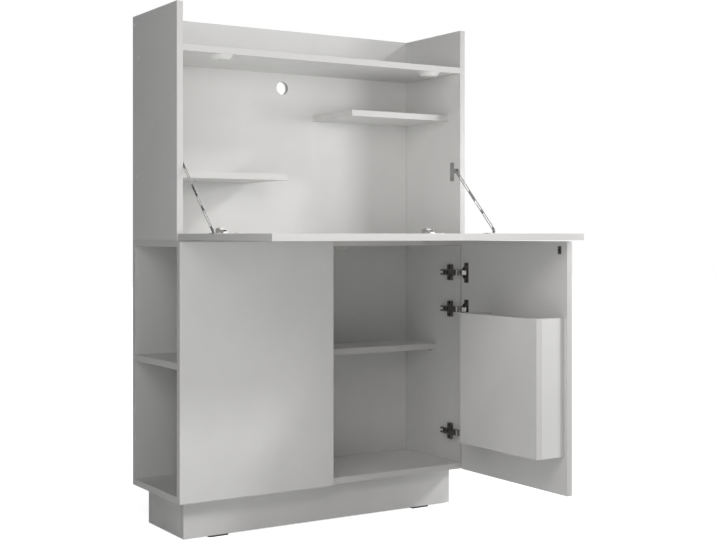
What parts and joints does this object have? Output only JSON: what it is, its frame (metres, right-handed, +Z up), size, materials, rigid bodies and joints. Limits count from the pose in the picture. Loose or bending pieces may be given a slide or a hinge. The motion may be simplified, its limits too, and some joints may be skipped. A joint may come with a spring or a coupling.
{
  "type": "secretary desk cabinet",
  "caption": "Floor-standing cabinet with a fold-down writing flap on stays, shelves, an open side niche and a door with a bin.",
  "frame": {"origin": "on the floor, at the middle of the open part's bounding box", "axes": "+X to the right seen from the front, +Y to the back, +Z up"},
  "size_m": [0.8616, 0.755, 1.304],
  "materials": {
    "white_board": "white melamine-faced chipboard with matching edge band, matt",
    "black_plastic": "moulded black polyethylene",
    "white_plastic": "moulded white plastic",
    "catch_plastic": "moulded pale grey plastic",
    "lens_plastic": "milky polycarbonate",
    "dark_steel": "pressed steel, black nickel plated",
    "nickel_steel": "pressed steel, nickel plated",
    "zinc_steel": "stamped steel, zinc plated"
  },
  "bodies": {
    "cabinet": {"plinth_front": "white_board", "plinth_back": "white_board", "plinth_left": "white_board", "plinth_right": "white_board", "base_bottom": "white_board", "base_top": "white_board", "base_right_side": "white_board", "base_partition": "white_board", "base_back": "white_board", "fixed_front": "white_board", "niche_shelf": "white_board", "cupboard_shelf": "white_board", "hutch_left_side": "white_board", "hutch_right_side": "white_board", "hutch_floor": "white_board", "hutch_back": "white_board", "hutch_top_shelf": "white_board", "upper_right_shelf": "white_board", "lower_left_shelf": "white_board", "glides": "black_plastic", "screw_caps": "white_plastic", "shelf_pins": "zinc_steel", "magnetic_catch": "catch_plastic", "door_hinge_mounts": "dark_steel", "door_hinge_arms": "dark_steel", "flap_hinge_mounts": "nickel_steel", "flap_hinge_arms": "nickel_steel", "stay_side_plate_left": "zinc_steel", "stay_side_plate_right": "zinc_steel", "light_housing_left": "white_plastic", "light_housing_right": "white_plastic"},
    "flap": {"flap_panel": "white_board", "flap_hinge_cups": "nickel_steel", "stay_flap_bracket_left": "zinc_steel", "stay_flap_bracket_right": "zinc_steel"},
    "door": {"door_panel": "white_board", "bin_front": "white_board", "bin_outer_end": "white_board", "bin_hinge_end": "white_board", "bin_bottom": "white_board", "strike_plate": "dark_steel", "door_hinge_cups": "dark_steel"},
    "flap_levers": {"flap_hinge_levers": "nickel_steel"},
    "door_levers": {"door_hinge_levers": "nickel_steel"},
    "guide_left": {"stay_guide_left": "zinc_steel"},
    "guide_right": {"stay_guide_right": "zinc_steel"},
    "rail_left": {"stay_rail_left": "zinc_steel"},
    "rail_right": {"stay_rail_right": "zinc_steel"},
    "lens_left": {"light_lens_left": "lens_plastic"},
    "lens_right": {"light_lens_right": "lens_plastic"}
  },
  "joints": [
    {"name": "flap_fold", "type": "hinge", "parent": "cabinet", "child": "flap", "pos_m": [0, 0.089, 0.7355], "axis": [-1, 0, 0], "range_deg": [0, 90]},
    {"name": "door_swing", "type": "hinge", "parent": "cabinet", "child": "door", "pos_m": [0.4245, 0.089, 0.4135], "axis": [0, 0, -1], "range_deg": [0, 90]},
    {"name": "flap_lever_turn", "type": "hinge", "parent": "flap", "child": "flap_levers", "pos_m": [0, 0.0835, 0.741], "axis": [1, 0, 0], "range_deg": [0, 110.5]},
    {"name": "door_lever_turn", "type": "hinge", "parent": "door", "child": "door_levers", "pos_m": [0.419, 0.0835, 0.538], "axis": [0, 0, 1], "range_deg": [0, 110.5]},
    {"name": "stay_rail_turn_left", "type": "hinge", "parent": "flap", "child": "rail_left", "pos_m": [-0.411, -0.0535, 0.754], "axis": [1, 0, 0], "range_deg": [0, 125.15]},
    {"name": "stay_guide_turn_left", "type": "hinge", "parent": "cabinet", "child": "guide_left", "pos_m": [-0.411, 0.1155, 0.919], "axis": [1, 0, 0], "range_deg": [0, 35.15]},
    {"name": "stay_rail_turn_right", "type": "hinge", "parent": "flap", "child": "rail_right", "pos_m": [0.411, -0.0535, 0.754], "axis": [1, 0, 0], "range_deg": [0, 125.15]},
    {"name": "stay_guide_turn_right", "type": "hinge", "parent": "cabinet", "child": "guide_right", "pos_m": [0.411, 0.1155, 0.919], "axis": [1, 0, 0], "range_deg": [0, 35.15]},
    {"name": "light_push_left", "type": "slide", "parent": "cabinet", "child": "lens_left", "axis": [0, 0, 1], "range_m": [0, 0.0015], "stiffness_N_per_m": 600, "springref_m": -0.002},
    {"name": "light_push_right", "type": "slide", "parent": "cabinet", "child": "lens_right", "axis": [0, 0, 1], "range_m": [0, 0.0015], "stiffness_N_per_m": 600, "springref_m": -0.002}
  ],
  "couplings": [
    {"joint": "flap_lever_turn", "follows": "flap_fold", "ratio": 1.2222},
    {"joint": "door_lever_turn", "follows": "door_swing", "ratio": 1.2222},
    {"joint": "stay_rail_turn_left", "follows": "flap_fold", "ratio": 1.3849},
    {"joint": "stay_guide_turn_left", "follows": "flap_fold", "ratio": 0.38495},
    {"joint": "stay_rail_turn_right", "follows": "flap_fold", "ratio": 1.3849},
    {"joint": "stay_guide_turn_right", "follows": "flap_fold", "ratio": 0.38495}
  ]
}
